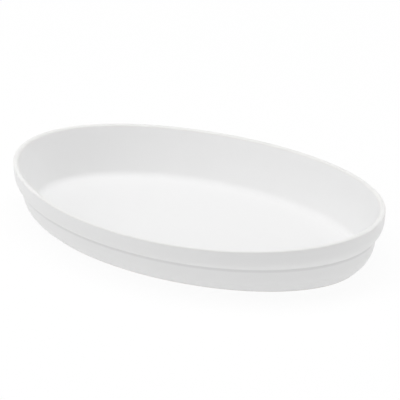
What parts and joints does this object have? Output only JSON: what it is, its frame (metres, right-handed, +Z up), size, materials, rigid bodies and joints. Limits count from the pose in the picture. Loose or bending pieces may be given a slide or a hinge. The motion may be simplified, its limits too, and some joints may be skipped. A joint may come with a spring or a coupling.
{
  "type": "oval baking dish",
  "caption": "Plain white oval baking dish with a collar band, a line cut below it, a coved inside, a flat floor and a bare foot ring, for baking and serving food.",
  "frame": {"origin": "on the table under the middle of the dish, in the plane of the foot ring it stands on", "axes": "+X along the dish's length, +Y across it, +Z up out of its open mouth"},
  "size_m": [0.36, 0.2204, 0.0561],
  "materials": {
    "bare_clay": "matte",
    "white_glaze": "gloss"
  },
  "bodies": {
    "root": {"ceramic_body": "bare_clay", "inner_glaze": "white_glaze", "outer_glaze": "white_glaze", "base_glaze": "white_glaze"}
  },
  "joints": []
}
